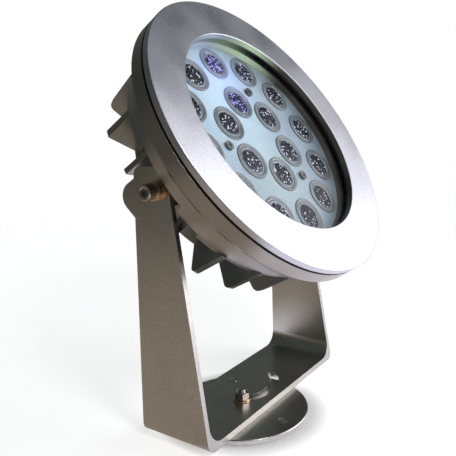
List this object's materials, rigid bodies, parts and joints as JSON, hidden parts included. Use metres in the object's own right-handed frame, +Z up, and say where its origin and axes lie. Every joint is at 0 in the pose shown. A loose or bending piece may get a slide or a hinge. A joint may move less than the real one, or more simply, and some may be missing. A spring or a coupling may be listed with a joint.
{
  "type": "underwater pond light",
  "caption": "Round underwater pond light with a finned heat sink, tilting in a bent steel yoke that pans on a small round base plate.",
  "frame": {"origin": "centre of the round base plate, on its underside", "axes": "+Z up, -Y the side the lamp shines towards, X along the tilt axis"},
  "size_m": [0.18, 0.1386, 0.2395],
  "materials": {
    "stainless": "bead-blasted stainless sheet",
    "bezel": "satin turned stainless",
    "fasteners": "plain stainless fasteners",
    "washers": "plain stainless washers",
    "brass_collar": "plain brass",
    "casting": "machined and bead-blasted",
    "sink": "machined, clear anodised",
    "cover": "machined, clear anodised",
    "gasket": "matt silicone rubber",
    "pad": "soft thermal pad",
    "glass": "clear toughened glass",
    "plate": "satin moulded cover",
    "holder": "satin moulded holder",
    "lens": "clear acrylic optic",
    "pcb_white": "white solder mask on aluminium",
    "pcb_green": "green solder mask",
    "emitter": "phosphor and silicone",
    "electronics": "moulded components",
    "nylon": "natural nylon",
    "wire": "insulated wire",
    "gland": "nickel-plated brass"
  },
  "bodies": {
    "base": {"base_plate": "stainless", "pan_pivot": "fasteners", "pan_stud": "fasteners", "pan_washer": "washers", "pan_nut": "fasteners"},
    "yoke": {"yoke": "stainless"},
    "head": {"tilt_bolts": "fasteners", "tilt_collars": "brass_collar", "tilt_washers": "washers", "tilt_spring_washers": "washers", "tilt_pads": "nylon", "lamp_body": "casting", "bezel": "bezel", "bezel_gasket": "gasket", "glass_gasket_front": "gasket", "glass": "glass", "glass_gasket_rear": "gasket", "heat_sink": "sink", "body_seal": "gasket", "heat_sink_screws": "fasteners", "thermal_pad": "pad", "led_board": "pcb_white", "led_emitters": "emitter", "lens_holders": "holder", "lenses": "lens", "cover_plate": "plate", "plate_spacers": "nylon", "plate_screws": "fasteners", "driver_standoffs": "nylon", "driver_board": "pcb_green", "driver_screws": "fasteners", "driver_parts": "electronics", "led_wires": "wire", "cover_gasket": "gasket", "rear_cover": "cover", "cover_screws": "fasteners", "gland_locknut": "gland", "gland_body": "gland", "gland_seal": "gasket", "gland_nut": "gland"}
  },
  "joints": [
    {"name": "yoke_pan", "type": "hinge", "parent": "base", "child": "yoke", "pos_m": [0.01803, 0.01803, 0], "axis": [0, 0, -1], "range_deg": [0, 90]},
    {"name": "head_tilt", "type": "hinge", "parent": "yoke", "child": "head", "pos_m": [0.0175, 0.0108, 0.1355], "axis": [-1, 0, 0], "range_deg": [-25, 56]}
  ]
}
